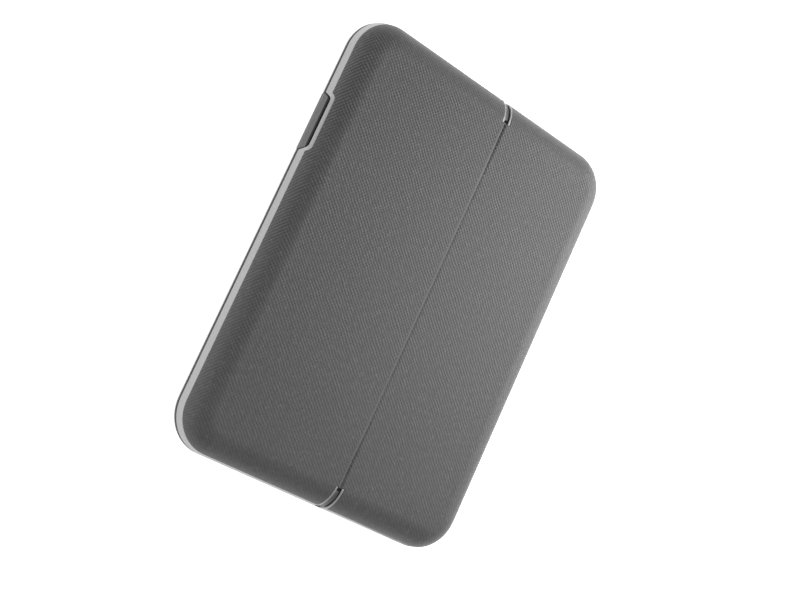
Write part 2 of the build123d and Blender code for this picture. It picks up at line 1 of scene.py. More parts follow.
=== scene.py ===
# %% [markdown]
# # A folding keyboard folio for a tablet
# The real object is a hard clamshell. Its lid is covered in a leather-like sheet with a fine
# crossed emboss, edged with satin silver trim, and folded once across the middle. This file
# dresses the engineering model: it loads the model as a frame, builds the visible surfaces in
# mesh code, paints everything with procedural materials, and adds a plain studio.

# %% Load the engineering model
import json
import math
import bmesh
import bpy
from mathutils import Matrix, Vector


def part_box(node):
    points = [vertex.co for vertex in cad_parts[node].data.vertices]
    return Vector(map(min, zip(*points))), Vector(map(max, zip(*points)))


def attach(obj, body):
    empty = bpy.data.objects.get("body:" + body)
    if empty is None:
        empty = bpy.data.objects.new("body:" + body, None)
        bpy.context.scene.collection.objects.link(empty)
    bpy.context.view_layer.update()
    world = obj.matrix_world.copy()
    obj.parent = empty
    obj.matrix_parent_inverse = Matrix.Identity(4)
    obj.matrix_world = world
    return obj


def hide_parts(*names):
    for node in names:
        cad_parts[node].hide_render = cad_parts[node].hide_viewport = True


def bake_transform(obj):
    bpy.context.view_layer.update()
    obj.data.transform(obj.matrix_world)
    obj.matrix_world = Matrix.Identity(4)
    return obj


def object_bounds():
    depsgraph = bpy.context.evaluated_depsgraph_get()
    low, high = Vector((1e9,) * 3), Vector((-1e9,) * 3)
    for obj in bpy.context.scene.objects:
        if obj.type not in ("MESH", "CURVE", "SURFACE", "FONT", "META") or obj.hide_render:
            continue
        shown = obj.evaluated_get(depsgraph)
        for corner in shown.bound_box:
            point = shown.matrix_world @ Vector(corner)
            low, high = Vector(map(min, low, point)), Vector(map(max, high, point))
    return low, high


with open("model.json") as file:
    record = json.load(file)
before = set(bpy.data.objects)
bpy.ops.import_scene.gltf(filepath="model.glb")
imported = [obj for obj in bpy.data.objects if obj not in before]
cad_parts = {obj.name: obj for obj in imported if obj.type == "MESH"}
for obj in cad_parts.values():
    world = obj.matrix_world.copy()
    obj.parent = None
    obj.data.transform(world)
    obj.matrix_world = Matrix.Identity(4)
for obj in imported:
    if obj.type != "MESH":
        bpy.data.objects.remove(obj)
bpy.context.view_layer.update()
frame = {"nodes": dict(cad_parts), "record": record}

# %% [markdown]
# ## Sizes
# Blender works in metres, so every size is written in millimetres and multiplied by `MM`.
# Places come from the boxes of the engineering model's own parts, so the looks always fit it.

# %% Sizes
MM = 0.001
half_x, half_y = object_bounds()[1].xy
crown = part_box("front_panel_skin")[1].z  # outer face of the closed lid
lid_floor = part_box("front_panel_rim")[0].z
trim_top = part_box("front_panel_skin")[0].z  # where the cover meets the lid's bright rim
base_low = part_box("base_skin")[0].z
base_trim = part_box("base_skin")[1].z
fold_y = (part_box("front_panel_skin")[1].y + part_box("rear_panel_skin")[0].y) / 2
corner_radius = 23 * MM
inner_x, inner_y = half_x - corner_radius, half_y - corner_radius  # the corners' centres
lid_round, lid_flat = 15.4 * MM, 15.1 * MM  # the shoulder's radius, and how far in it starts
base_round, base_flat = 13.4 * MM, 13.1 * MM
wall_lean = math.tan(math.radians(11.4))
rim_narrows_y, rim_ends_y = 30 * MM, 78 * MM  # where the lid's bright rim tapers away
cover_thickness = 0.6 * MM
print("half sizes", half_x, half_y, "crown", crown, "fold", fold_y)

# %% [markdown]
# ## Camera
# The camera looks down at the lid from in front of the opening edge and is rolled, so the long
# side runs steeply across the picture. It is set from three directions: right, up and back.

# %% Camera
camera_right = Vector((-0.41154, 0.73769, 0.53521))
camera_back = Vector((0.1363, -0.53083, 0.83645))
camera_place = Vector((0.10997, -0.41393, 0.66545))

camera_back.normalize()
camera_up = camera_back.cross(camera_right).normalized()
camera_right = camera_up.cross(camera_back)
camera_data = bpy.data.cameras.new("studio_camera")
camera = bpy.data.objects.new("studio_camera", camera_data)
bpy.context.scene.collection.objects.link(camera)
turn = Matrix((camera_right, camera_up, camera_back)).transposed()
camera.matrix_world = Matrix.Translation(camera_place) @ turn.to_4x4()
camera_data.lens = 63.65
camera_data.sensor_width = 36.0
camera_data.clip_start = 0.01
bpy.context.scene.camera = camera
print("camera", tuple(round(v, 3) for v in camera.location))

# %% [markdown]
# ## Writing a material as sums
# A material is a graph of nodes. Wrapping a node's output in a small class lets ordinary
# arithmetic add the Math nodes, so a pattern reads as a formula. Any other node comes from
# `node`, which takes its type, its settings and its inputs.

# %% Shader helper
class Wire:
    """One output in a material's node graph. Arithmetic on it adds Math nodes."""

    def __init__(self, paint, socket):
        self.paint = paint
        self.socket = socket

    def math(self, operation, *values):
        return self.paint.node("ShaderNodeMath", values, operation=operation)

    def __add__(self, other):
        return self.math("ADD", self, other)

    def __radd__(self, other):
        return self.math("ADD", other, self)

    def __sub__(self, other):
        return self.math("SUBTRACT", self, other)

    def __rsub__(self, other):
        return self.math("SUBTRACT", other, self)

    def __mul__(self, other):
        return self.math("MULTIPLY", self, other)

    def __rmul__(self, other):
        return self.math("MULTIPLY", other, self)

    def __truediv__(self, other):
        return self.math("DIVIDE", self, other)

    def sine(self):
        return self.math("SINE", self)

    def size(self):
        return self.math("ABSOLUTE", self)

    def clamp(self, low=0.0, high=1.0):
        return self.math("MINIMUM", self.math("MAXIMUM", self, low), high)

    def above(self, level, softness):
        """0 below the level, 1 above it, with a soft step between."""
        return ((self - level) / softness + 0.5).clamp()


class Paint:
    """A material with one Principled shader, built up from wires."""

    def __init__(self, name):
        self.material = bpy.data.materials.new(name)
        self.material.use_nodes = True
        self.tree = self.material.node_tree
        self.shader = self.tree.nodes["Principled BSDF"]

    def node(self, kind, values=(), out=0, **settings):
        made = self.tree.nodes.new(kind)
        for key, value in settings.items():
            setattr(made, key, value)
        pairs = values.items() if isinstance(values, dict) else enumerate(values)
        for key, value in pairs:
            self.plug(made.inputs[key], value)
        return Wire(self, made.outputs[out])

    def plug(self, socket, value):
        if isinstance(value, Wire):
            self.tree.links.new(value.socket, socket)
        else:
            socket.default_value = value

    def set(self, **values):
        for key, value in values.items():
            self.plug(self.shader.inputs[key.replace("_", " ")], value)
        return self.material

    def place(self):
        """Object coordinates, in metres."""
        return self.node("ShaderNodeTexCoord", out="Object")

    def noise(self, where, scale, detail=2.0, roughness=0.5):
        return self.node(
            "ShaderNodeTexNoise",
            {"Vector": where, "Scale": scale, "Detail": detail, "Roughness": roughness},
        )

    def mix(self, factor, first, second):
        """A colour between two colours."""
        return self.node(
            "ShaderNodeMix", {0: factor, 6: first, 7: second}, out=2, data_type="RGBA"
        )

    def bump(self, height, depth, strength=1.0):
        return self.node(
            "ShaderNodeBump", {"Height": height, "Distance": depth, "Strength": strength}
        )


def grey(value, tint=1.0):
    """A neutral colour, with blue a little higher when the tint is over one."""
    return (value, value, value * tint, 1.0)


# %% [markdown]
# ## Embossed cover
# The cover sheet is pressed with two sets of fine ribs that cross at nearly right angles. The
# pattern follows the sheet over the rounded shoulder, so it reads a UV map that holds each
# point's place on the unrolled sheet, in metres. Two sine waves make the ribs, and a slow noise
# in their phase makes the spacing wander, as in real grain. One set is taller on the flat, the
# other on the front shoulder; this shift between the sets is painted light, standing for the set
# that the light catches on each part. The ribs are lower towards the +X end, near the ends and
# the spine, and in patches that a noise picks. The colour follows the ribs' height, darker in
# the grooves and lighter on the crests: painted shade and painted highlight. A smooth stripe runs
# along the front of the fold line.

# %% Cover material
rib_pitch = 1.66 * MM
turns = math.tau / rib_pitch
rib_middle = 0.47  # the ribs' mean height, about which their strength changes
front_shoulder_y = -half_y + 6.5 * MM
seam_y = fold_y - 1.0 * MM


def cover_material(name, dark, light):
    paint = Paint(name)
    flat = paint.node("ShaderNodeUVMap", out="UV", uv_map="unrolled")
    parts = paint.tree.nodes.new("ShaderNodeSeparateXYZ")
    paint.tree.links.new(flat.socket, parts.inputs[0])
    u, v = Wire(paint, parts.outputs[0]), Wire(paint, parts.outputs[1])
    wander = (paint.noise(flat, 95.0, 2.0) - 0.5) * 6.0
    first = ((u * 0.75 - v * 0.66) * turns + wander).sine() * 0.5 + 0.5
    second = ((u * 0.69 + v * 0.72) * turns * 1.06 - wander * 0.8).sine() * 0.5 + 0.5
    flatness = v.above(front_shoulder_y, 5 * MM)
    # Painted light: each rib set's share, in the colour as well as the bump, is raised where the
    # light catches that set, the first on the flat and the second on the front shoulder.
    first_height_and_light = flatness * 0.66 + 0.14
    second_height_and_light = 0.8 - flatness * 0.52
    seam = 1 - (v - seam_y).size().above(1.0 * MM, 0.5 * MM)
    beads = paint.noise(flat, 1250.0, 2.0)
    broken = paint.noise(flat, 380.0, 1.0)
    fleck = paint.noise(flat, 430.0, 0.0).above(0.73, 0.05)
    calm_ends = 1 - u.size().above(half_x - 10 * MM, 16 * MM) * 0.6
    calm_rear = 1 - v.above(half_y - 12 * MM, 18 * MM) * 0.75
    swell = paint.noise(flat, 150.0, 2.0) * 1.5 + 0.15
    strength = (0.92 - u / half_x * 0.45) * swell * calm_ends * calm_rear
    crossed = first * first_height_and_light + second * second_height_and_light
    ribs = (crossed - rib_middle) * strength + rib_middle
    height = ribs * (broken * 1.1 + 0.45) * (1 - seam) + beads * 0.16 + seam * 0.5
    patches = paint.noise(flat, 26.0, 2.0)
    # The colour follows the ribs' height: painted shade in the grooves and painted highlight on
    # the crests. The flecks and patches are random tone.
    tone = (height * 0.6 + 0.09 + fleck * 0.16 + (patches - 0.5) * 0.14).clamp()
    return paint.set(
        Base_Color=paint.mix(tone, dark, light),
        Roughness=(0.6 - height * 0.08 + (patches - 0.5) * 0.1).clamp(0.3, 0.9),
        Normal=paint.bump(height, 0.14 * MM, 0.7),
        Specular_IOR_Level=0.4,
        Sheen_Weight=0.1,
        Sheen_Roughness=0.5,
    )


cover_paint = cover_material("embossed_cover", grey(0.03), grey(0.155))
print("made", cover_paint.name)

# %% [markdown]
# ## Satin silver, moulded plastics and rubber
# Each finish is one function with a little grain at the scale of the real surface: fine noise
# in the roughness and the bump, and slow noise in the colour, so that no face is one flat tone.

# %% Plain finishes
def plain_material(name, colour, roughness, metallic, grain, depth, spread=0.12):
    """Grain is the fine noise's scale, depth its height in mm, spread the colour's range."""
    paint = Paint(name)
    where = paint.place()
    fine = paint.noise(where, grain, 3.0)
    slow = paint.noise(where, 25.0, 2.0)
    darker = tuple(c * (1 - spread) for c in colour[:3]) + (1.0,)
    lighter = tuple(min(1.0, c * (1 + spread)) for c in colour[:3]) + (1.0,)
    return paint.set(
        Base_Color=paint.mix((slow * 0.6 + fine * 0.4).clamp(), darker, lighter),
        Roughness=roughness + (fine - 0.5) * 0.18,
        Normal=paint.bump(fine, depth * MM, 0.6),
        Metallic=metallic,
    )


silver_paint = plain_material("satin_silver", grey(0.39), 0.45, 0.4, 1600.0, 0.008, 0.05)
tab_paint = plain_material("soft_touch_tab", grey(0.115), 0.55, 0.0, 1800.0, 0.02)
holder_paint = plain_material("holder_plastic", grey(0.15), 0.5, 0.0, 1200.0, 0.02)
shell_paint = plain_material("shell_plastic", grey(0.03), 0.6, 0.0, 1000.0, 0.03)
deck_paint = plain_material("deck_plastic", grey(0.075, 1.03), 0.48, 0.0, 1500.0, 0.03)
key_paint = plain_material("key_plastic", grey(0.014, 1.05), 0.5, 0.0, 2200.0, 0.015)
legend_paint = plain_material("key_legend", grey(0.72), 0.6, 0.0, 1500.0, 0.002, 0.03)
rubber_paint = plain_material("foot_rubber", grey(0.02), 0.85, 0.0, 1400.0, 0.05, 0.3)
silicone_paint = plain_material("soft_silicone", grey(0.035), 0.7, 0.0, 900.0, 0.02, 0.2)
steel_paint = plain_material("plated_steel", grey(0.5), 0.3, 1.0, 700.0, 0.01)
board_paint = plain_material("solder_mask", (0.012, 0.09, 0.03, 1.0), 0.3, 0.0, 600.0, 0.02)
film_paint = plain_material("clear_film", (0.25, 0.25, 0.21, 1.0), 0.25, 0.0, 500.0, 0.01)
foil_paint = plain_material("battery_foil", grey(0.55), 0.35, 0.8, 260.0, 0.05)
fibre_paint = plain_material("spine_board", grey(0.12), 0.8, 0.0, 500.0, 0.05)
lens_paint = plain_material("light_lens", (0.3, 0.62, 0.4, 1.0), 0.2, 0.0, 900.0, 0.005)
print("finishes", len(bpy.data.materials))


# %% [markdown]
# ## Lining
# The inside faces are lined with a short-napped microfibre. A dense noise gives the nap, and a
# slower one gives the light and dark patches that brushing leaves.

# %% Lining material
def lining_material():
    paint = Paint("microfibre_lining")
    where = paint.place()
    nap = paint.noise(where, 1500.0, 4.0, 0.7)
    brushed = paint.noise(where, 40.0, 3.0)
    tone = (nap * 0.5 + (brushed - 0.5) * 0.8 + 0.25).clamp()
    return paint.set(
        Base_Color=paint.mix(tone, grey(0.018), grey(0.06, 1.04)),
        Roughness=0.95,
        Normal=paint.bump(nap, 0.12 * MM, 0.9),
        Sheen_Weight=0.35,
        Sheen_Roughness=0.4,
    )


lining_paint = lining_material()

# %% [markdown]
# ## Placing a piece
# Every new piece becomes an object at the origin whose place is in its mesh. It rides on a body
# of the model when one is given, stands in for the model's plain parts, and takes one of the
# finishes above.
# Edges that turn by more than the given angle stay sharp; 180 smooths them all.

# %% Piece helper
def make_piece(name, bm, paint, body, replaced, smooth):
    mesh = bpy.data.meshes.new(name)
    bm.to_mesh(mesh)
    bm.free()
    mesh.materials.append(paint)
    mesh.shade_smooth()
    if smooth < 180:
        mesh.set_sharp_from_angle(angle=math.radians(smooth))
    piece = bpy.data.objects.new(name, mesh)
    bpy.context.scene.collection.objects.link(piece)
    if body:
        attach(piece, body)
    if replaced:
        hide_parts(*replaced)
    return piece


# %% [markdown]
# ## Finishing edges and walls
# A moulded edge is never quite sharp. A live Bevel rounds a piece's hard edges, and hardened
# normals keep the flat faces beside them flat. A sheet's surface gets its wall from a live
# Solidify, which grows inwards, so the outer face stays where it was made.

# %% Edges and walls
def soften(piece, width):
    bevel = piece.modifiers.new("edges", "BEVEL")
    bevel.width = width
    bevel.segments = 2
    bevel.limit_method = "ANGLE"
    bevel.angle_limit = math.radians(30)
    bevel.use_clamp_overlap = True
    bevel.harden_normals = True


def thicken(piece, thickness):
    wall = piece.modifiers.new("thickness", "SOLIDIFY")
    wall.thickness = thickness
    wall.offset = -1


# %% [markdown]
# ## Cutting a mesh
# A plane cuts a mesh into more faces, for an opening's outline or a row of points. The cut can
# be held to the faces near one place, so that it doesn't run through the whole piece.

# %% Cutting helpers
def cut(bm, point, normal, geometry=None, drop=False):
    """Cuts with a plane. Drop removes what lies on the side that the normal points away from."""
    bmesh.ops.bisect_plane(
        bm,
        geom=geometry or bm.verts[:] + bm.edges[:] + bm.faces[:],
        dist=1e-7,
        plane_co=point,
        plane_no=normal,
        clear_inner=drop,
    )


def near(bm, test):
    """The faces whose middle passes the test, with their edges and points."""
    faces = [f for f in bm.faces if test(f.calc_center_median())]
    edges = {e for f in faces for e in f.edges}
    points = {v for f in faces for v in f.verts}
    return list(points) + list(edges) + faces


# %% [markdown]
# ## The cushion shape
# Both halves have the same form: a rounded rectangle with a broad, softly rounded shoulder. A
# cube is scaled to size, its upright edges are bevelled for the corners, and the edges around
# its top are bevelled again for the shoulder. Cutting off the bottom leaves the cover's surface.

# %% Cushion
def bevel_edges(bm, edges, width, segments):
    bmesh.ops.bevel(
        bm,
        geom=edges,
        offset=width,
        offset_type="OFFSET",
        segments=segments,
        profile=0.5,
        affect="EDGES",
        material=-1,
        clamp_overlap=False,
    )


def block(low, high):
    """A closed block from its lowest corner to its highest."""
    bm = bmesh.new()
    size = Vector(high) - Vector(low)
    middle = (Vector(high) + Vector(low)) / 2
    bmesh.ops.create_cube(bm, size=1.0)
    bmesh.ops.scale(bm, vec=size, verts=bm.verts)
    bmesh.ops.translate(bm, vec=middle, verts=bm.verts)
    return bm


def upright_edges(bm):
    return [e for e in bm.edges if abs((e.verts[0].co - e.verts[1].co).z) > 1e-5]


def edges_at(bm, z):
    return [e for e in bm.edges if all(abs(v.co.z - z) < 1e-6 for v in e.verts)]


cushion_depth = 40 * MM  # more than either cover needs; the rest is cut off


def cushion(outward, top, radius, shoulder_steps):
    """A rounded block whose top edge has a broad radius."""
    reach_x, reach_y = half_x + outward, half_y + outward
    bm = block((-reach_x, -reach_y, top - cushion_depth), (reach_x, reach_y, top))
    bevel_edges(bm, upright_edges(bm), corner_radius + outward, 14)
    bevel_edges(bm, edges_at(bm, top), radius, shoulder_steps)
    return bm


# %% [markdown]
# ## Unrolling the sheet
# Printed or pressed patterns follow the sheet, not the room. For each point, the unrolled place
# is its place on the flat top plus the length of arc that it lies past the shoulder's start.

# %% Unrolled UV map
def beyond_inner(co):
    """How far a point lies beyond the inner rectangle on which the corners' centres stand."""
    return Vector((max(abs(co.x) - inner_x, 0), max(abs(co.y) - inner_y, 0)))


def back_outside(co, away):
    """The place that lies away from the inner rectangle, on the same side as the point."""
    x = math.copysign(min(abs(co.x), inner_x) + away.x, co.x)
    y = math.copysign(min(abs(co.y), inner_y) + away.y, co.y)
    return x, y


def unroll(bm, radius, flat_inset):
    uv = bm.loops.layers.uv.new("unrolled")
    flat_radius = corner_radius - flat_inset
    for face in bm.faces:
        for loop in face.loops:
            co = loop.vert.co
            away = beyond_inner(co)
            past = away.length - flat_radius
            if past > 1e-6:
                bend = math.asin(min(1.0, past / radius))
                away *= (flat_radius + radius * bend) / away.length
                loop[uv].uv = back_outside(co, away)
            else:
                loop[uv].uv = co.xy


# %% [markdown]
# ## Lid cover
# One sheet runs over both panels. It is cut away around the thumb notch in the front edge and
# around the two relief slots at the ends of the fold, where silver frames take over, and at the
# spine's recess. These are the openings' sizes.

# %% Openings in the lid cover
notch_x = (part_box("thumb_tab")[0].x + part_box("thumb_tab")[1].x) / 2
notch_top = 18.7 * MM
notch_half_top = 15.5 * MM
notch_half_low = 18.8 * MM
notch_corner = 2.2 * MM
slot_inner = half_x - 14.5 * MM
slot_half_inner = 2.3 * MM
slot_half_outer = 3.0 * MM
pocket_y = half_y - 1.9 * MM
pocket_half = 102.5 * MM
rim_slope = (trim_top - lid_floor - 0.4 * MM) / (rim_ends_y - rim_narrows_y)
print("notch at", notch_x, "slots from", slot_inner)

# %% [markdown]
# ## The lid's sheet
# The cushion is cut off at the lid's floor and unrolled while its shoulder is still a plain
# arc. The real wall leans in a little towards the top, so points outside the leaning wall are
# moved onto it. Then rows of points are cut where the sheet has to crease or bend.

# %% The lid's sheet
def lean_walls(bm):
    """Moves points that stand outside the leaning wall of the edge onto that wall."""
    for point in bm.verts:
        co = point.co
        away = beyond_inner(co)
        reach = corner_radius - (co.z - lid_floor) * wall_lean
        if away.length > reach:
            away *= reach / away.length
            co.x, co.y = back_outside(co, away)


lid = cushion(lid_round - lid_flat, crown, lid_round, 18)
cut(lid, (0, 0, lid_floor), (0, 0, 1), drop=True)
for height in (12, 13.2, 14.4, 15.4):
    cut(lid, (0, 0, height * MM), (0, 0, 1))
cut(lid, (0, 0, trim_top), (0, 0, 1))
unroll(lid, lid_round, lid_flat)
lean_walls(lid)
for offset in (-6, -3.4, -2, -1.3, -0.8, -0.35, 0.0, 0.35, 0.8, 1.3, 2, 3.4, 6):
    cut(lid, (0, fold_y + offset * MM, 0), (0, 1, 0))
for x in range(-100, 101, 20):
    cut(lid, (x * MM, 0, 0), (1, 0, 0))
print("sheet faces", len(lid.faces))

# %% [markdown]
# ## Cutting the openings' outlines
# Each opening is outlined by planes, and each plane cuts only the faces near its opening: the
# notch's top, sides and bevelled corners, the slots' ends and sides, the spine's recess, and
# the rim that narrows towards the spine.

# %% Outlines
def in_notch(point):
    return point.y < -half_y + 12 * MM and abs(point.x - notch_x) < 25 * MM


def at_slot(point):
    return abs(point.x) > slot_inner - 6 * MM and abs(point.y - fold_y) < 8 * MM


def at_spine(point):
    return point.y > half_y - 8 * MM and abs(point.x) < half_x - 8 * MM


cut(lid, (0, 0, notch_top), (0, 0, 1), near(lid, in_notch))
lean = Vector((notch_top - lid_floor, notch_half_low - notch_half_top)).normalized()
for side in (-1, 1):
    foot = (notch_x + side * notch_half_top, 0, notch_top)
    cut(lid, foot, (side * lean.x, 0, lean.y), near(lid, in_notch))
    foot = (notch_x + side * (notch_half_top - notch_corner), 0, notch_top)
    cut(lid, foot, (side * 0.7071, 0, 0.7071), near(lid, in_notch))
    cut(lid, (side * slot_inner, 0, 0), (1, 0, 0), near(lid, at_slot))
    taper = Vector((-(slot_half_outer - slot_half_inner), half_x - slot_inner)).normalized()
    for edge in (-1, 1):
        start = (side * slot_inner, fold_y + edge * slot_half_inner, 0)
        beyond = near(lid, lambda p: at_slot(p) and p.x * side > slot_inner)
        cut(lid, start, (taper.x * side, edge * taper.y, 0), beyond)
    cut(lid, (side * pocket_half, 0, 0), (1, 0, 0), near(lid, at_spine))
cut(lid, (0, pocket_y, 0), (0, 1, 0), near(lid, at_spine))
for y in (rim_narrows_y, rim_ends_y):
    cut(lid, (0, y, 0), (0, 1, 0))
narrowing = near(lid, lambda p: rim_narrows_y < p.y < rim_ends_y and p.z < trim_top + 2 * MM)
cut(lid, (0, rim_narrows_y, trim_top), (0, rim_slope, 1), narrowing)
print("outlined faces", len(lid.faces))

# %% [markdown]
# ## Clearing the openings
# Once the outlines are cut, no face crosses them, so each face's middle tells whether it is in
# an opening, on the bright rim or in the spine's recess. Those faces are deleted.

# %% Cleared openings
def inside_openings(point):
    if in_notch(point) and point.z < notch_top:
        across = abs(point.x - notch_x)
        drop = (notch_top - point.z) / (notch_top - lid_floor)
        half = notch_half_top + (notch_half_low - notch_half_top) * drop
        below = across + point.z < notch_half_top - notch_corner + notch_top
        return across < half and below
    along = (abs(point.x) - slot_inner) / (half_x - slot_inner)
    half = slot_half_inner + (slot_half_outer - slot_half_inner) * along
    return along > 0 and abs(point.y - fold_y) < half


def beyond_sheet(point):
    """Whether the point belongs to the bright rim or to the spine's recess."""
    past = min(max(point.y, rim_narrows_y), rim_ends_y) - rim_narrows_y
    rim = point.y < rim_ends_y and point.z < trim_top - past * rim_slope
    return rim or (point.y > pocket_y and abs(point.x) < pocket_half)


gone = [
    f for f in lid.faces
    if inside_openings(f.calc_center_median()) or beyond_sheet(f.calc_center_median())
]
bmesh.ops.delete(lid, geom=gone, context="FACES")
print("removed", len(gone))

# %% [markdown]
# ## Crease
# Along the fold, the rows of points are pressed down into a narrow crease, deepest near the
# slots.

# %% Crease and finished lid cover
crease_depth = {0.0: 0.75, 0.35: 0.62, -0.35: 0.55, 0.8: 0.16, -0.8: 0.04, -1.3: -0.04}
deepens_x, deepens_over = 84 * MM, 20 * MM
middle_share = 0.22  # the crease's depth in the middle, as a share of that near the slots
for point in lid.verts:
    near_slot = min(max((abs(point.co.x) - deepens_x) / deepens_over, 0), 1)
    share = middle_share + (1 - middle_share) * near_slot
    for offset, depth in crease_depth.items():
        if abs(point.co.y - fold_y - offset * MM) < 1e-6 and abs(point.co.x) < slot_inner:
            point.co.z -= depth * MM * share
lid_cover = make_piece(
    "lid_cover", lid, cover_paint, None,
    ("front_panel_skin", "rear_panel_skin", "fold_cloth"), 180,
)
thicken(lid_cover, cover_thickness)
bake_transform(lid_cover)
print("lid cover faces", len(lid_cover.data.polygons))

# %% [markdown]
# ## Base cover
# The underside wears the same sheet on a shallower cushion. It is made like the lid's, turned
# over, and left whole: the feet and the charging socket stand through it.

# %% Base cover
base = cushion(base_round - base_flat, -base_low, base_round, 14)
cut(base, (0, 0, -base_trim), (0, 0, 1), drop=True)
for x in range(-100, 101, 25):
    cut(base, (x * MM, 0, 0), (1, 0, 0))
unroll(base, base_round, base_flat)
bmesh.ops.scale(base, vec=(1, 1, -1), verts=base.verts)
bmesh.ops.reverse_faces(base, faces=base.faces)
base_cover = make_piece(
    "base_cover", base, cover_paint, "base", ("base_skin",), 180
)
thicken(base_cover, cover_thickness)
print("base cover faces", len(base_cover.data.polygons))

# %% [markdown]
# ## Moulded and metal parts
# The model's own shapes are right for rims, shells, holders and boards, but their meshes are
# loose triangles. A copy is welded, its flat faces are joined, and a fine bevel rounds the
# edges. The deck and the base's shell have too many openings and bosses for a clean bevel, so
# they go without.

# %% Refined copies
weld_distance = 0.002 * MM


def refine(node, paint, edge):
    """A welded copy of one of the model's parts. Edge is the bevel's width in mm."""
    bm = bmesh.new()
    bm.from_mesh(frame["nodes"][node].data)
    bmesh.ops.remove_doubles(bm, verts=bm.verts, dist=weld_distance)
    bmesh.ops.dissolve_limit(
        bm, angle_limit=math.radians(0.5), verts=bm.verts, edges=bm.edges,
        use_dissolve_boundaries=False,
    )
    body, slot = body_of_node[node], slot_of_node[node]
    piece = make_piece(node + "_finished", bm, paint, body, (node,), 35)
    if edge:
        soften(piece, edge * MM)
    return piece


body_of_node = {n: b for b, ns in frame["record"]["behaviour"]["bodies"].items() for n in ns}
slot_of_node = {s["node"]: s["material_slot"] for s in frame["record"]["subparts"]}
refined = [
    ("front_panel_rim", silver_paint, 0.14), ("rear_panel_rim", silver_paint, 0.14),
    ("base_rim", silver_paint, 0.14), ("thumb_tab", tab_paint, 0.25),
    ("tablet_holder", holder_paint, 0.15), ("front_panel_shell", shell_paint, 0.1),
    ("rear_panel_shell", shell_paint, 0.1), ("base_shell", shell_paint, 0.0),
    ("keyboard_deck", deck_paint, 0.0), ("tablet_rest", rubber_paint, 0.15),
    ("corner_pads", silicone_paint, 0.1), ("power_switch", silver_paint, 0.1),
    ("charging_socket", steel_paint, 0.06), ("spine_board", fibre_paint, 0.1),
]
for node, paint, edge in refined:
    made = refine(node, paint, edge)
    print(made.name, len(made.data.polygons))

# %% [markdown]
# ## Parts that stay as modelled
# Small or hidden parts keep the model's own mesh and only get a better finish.

# %% Finishes on the model's own parts
kept = {
    "keeper_plate": steel_paint, "tab_magnet": steel_paint, "rest_magnets": steel_paint,
    "rear_panel_magnets": steel_paint, "backing_plate": steel_paint, "button_switch": steel_paint,
    "casing_screws": steel_paint, "switch_membrane": film_paint, "ribbon_cable": film_paint,
    "rubber_domes": silicone_paint, "deck_bumpers": silicone_paint, "keyboard_ribs": shell_paint,
    "switch_body": shell_paint, "control_board": board_paint, "main_board": board_paint,
    "battery_cells": foil_paint, "light_pipes": lens_paint, "rubber_feet": rubber_paint,
    "connect_button": deck_paint,
}
for node, paint in kept.items():
    for place in frame["nodes"][node].material_slots:
        place.material = paint
print("kept parts", len(kept))

# %% [markdown]
# ## Keycaps
# The caps' places come from the model: its key parts are split into separate solids, by walking
# from point to point along the edges, and each solid's box gives one cap.

# %% The keys' places
def islands(node):
    """The box of each separate solid in a node, left to right."""
    bm = bmesh.new()
    bm.from_mesh(frame["nodes"][node].data)
    bmesh.ops.remove_doubles(bm, verts=bm.verts, dist=weld_distance)
    left = set(bm.verts)
    boxes = []
    while left:
        group, edge = set(), [left.pop()]
        while edge:
            point = edge.pop()
            group.add(point)
            for link in point.link_edges:
                other = link.other_vert(point)
                if other in left:
                    left.discard(other)
                    edge.append(other)
        places = [p.co for p in group]
        low = Vector([min(p[i] for p in places) for i in range(3)])
        high = Vector([max(p[i] for p in places) for i in range(3)])
        boxes.append((low, high))
    bm.free()
    return sorted(boxes, key=lambda b: b[0].x)


# %% [markdown]
# ## One keycap
# Each cap is a small tapered block with rounded corners and a shallow dish. A cube's upright
# edges are bevelled, its top is narrowed, the top's edge is bevelled, and the top is inset and
# pressed down. The inset is less than the corners' radius, so its points don't cross.

# %% Keycap
cap_corner = 1.2 * MM
cap_taper = 0.9 * MM
cap_edge = 0.35 * MM
dish_edge = 0.5 * MM
dish_depth = 0.08 * MM


def top_face(bm):
    return max(bm.faces, key=lambda f: f.calc_center_median().z)


def keycap(low, high):
    bm = block(low, high)
    bevel_edges(bm, upright_edges(bm), cap_corner, 4)
    top = top_face(bm)
    span = high - low
    shrink = (1 - cap_taper / span.x, 1 - cap_taper / span.y, 1)
    to_middle = Matrix.Translation(-(low + high) / 2)
    bmesh.ops.scale(bm, vec=shrink, space=to_middle, verts=top.verts)
    bevel_edges(bm, list(top.edges), cap_edge, 3)
    top = top_face(bm)
    bmesh.ops.inset_region(
        bm, faces=[top], thickness=dish_edge, depth=0, use_even_offset=True
    )
    bmesh.ops.translate(bm, vec=(0, 0, -dish_depth), verts=top.verts)
    return bm


def add_mesh(target, source):
    """Adds one bmesh to another by way of a mesh."""
    carrier = bpy.data.meshes.new("carrier")
    source.to_mesh(carrier)
    source.free()
    target.from_mesh(carrier)
    bpy.data.meshes.remove(carrier)


# %% [markdown]
# ## Legends
# The printed legends are thin raised text in the caps' dishes. A text curve is turned into a
# mesh and moved to the middle of its cap. The arrows are flat cones with three sides.

# %% Legend shapes
ink_thickness = 0.06 * MM


def legend(text, size):
    curve = bpy.data.curves.new("legend", "FONT")
    curve.body = text
    curve.align_x = "CENTER"
    curve.align_y = "CENTER"
    curve.size = size
    curve.extrude = ink_thickness / 2
    curve.resolution_u = 3
    shown = bpy.data.objects.new("legend", curve)
    bpy.context.scene.collection.objects.link(shown)
    bpy.context.view_layer.update()
    mesh = bpy.data.meshes.new_from_object(shown)
    bpy.data.objects.remove(shown)
    bpy.data.curves.remove(curve)
    return mesh


